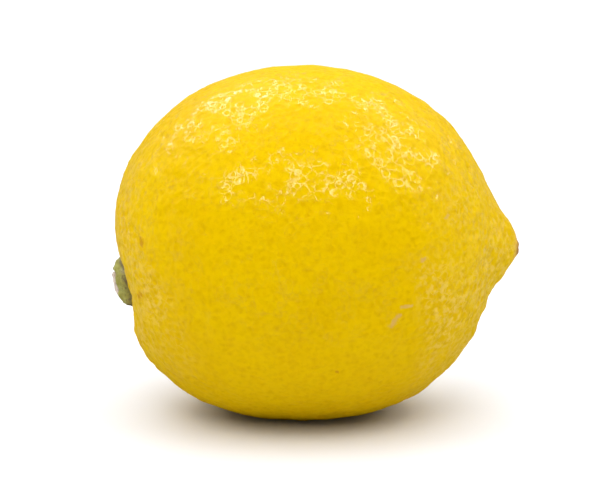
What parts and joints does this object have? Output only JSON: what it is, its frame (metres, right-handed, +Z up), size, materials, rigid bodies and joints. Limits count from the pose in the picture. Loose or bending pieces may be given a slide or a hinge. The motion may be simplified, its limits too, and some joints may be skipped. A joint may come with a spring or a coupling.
{
  "type": "lemon",
  "caption": "Plump whole lemon lying on its side, with a blunt nipple at one end and a green stem button with a short cut stalk at the other.",
  "frame": {"origin": "centre of the small flat spot that the fruit rests on", "axes": "+X along the fruit from the stem end to the nipple, +Z up, +Y to the left of someone looking along +X"},
  "size_m": [0.0733, 0.064, 0.0634],
  "materials": {
    "peel": "satin",
    "button_green": "matte",
    "cut_stalk": "matte"
  },
  "bodies": {
    "root": {"fruit": "peel", "calyx": "button_green", "stem_stub": "cut_stalk"}
  },
  "joints": []
}
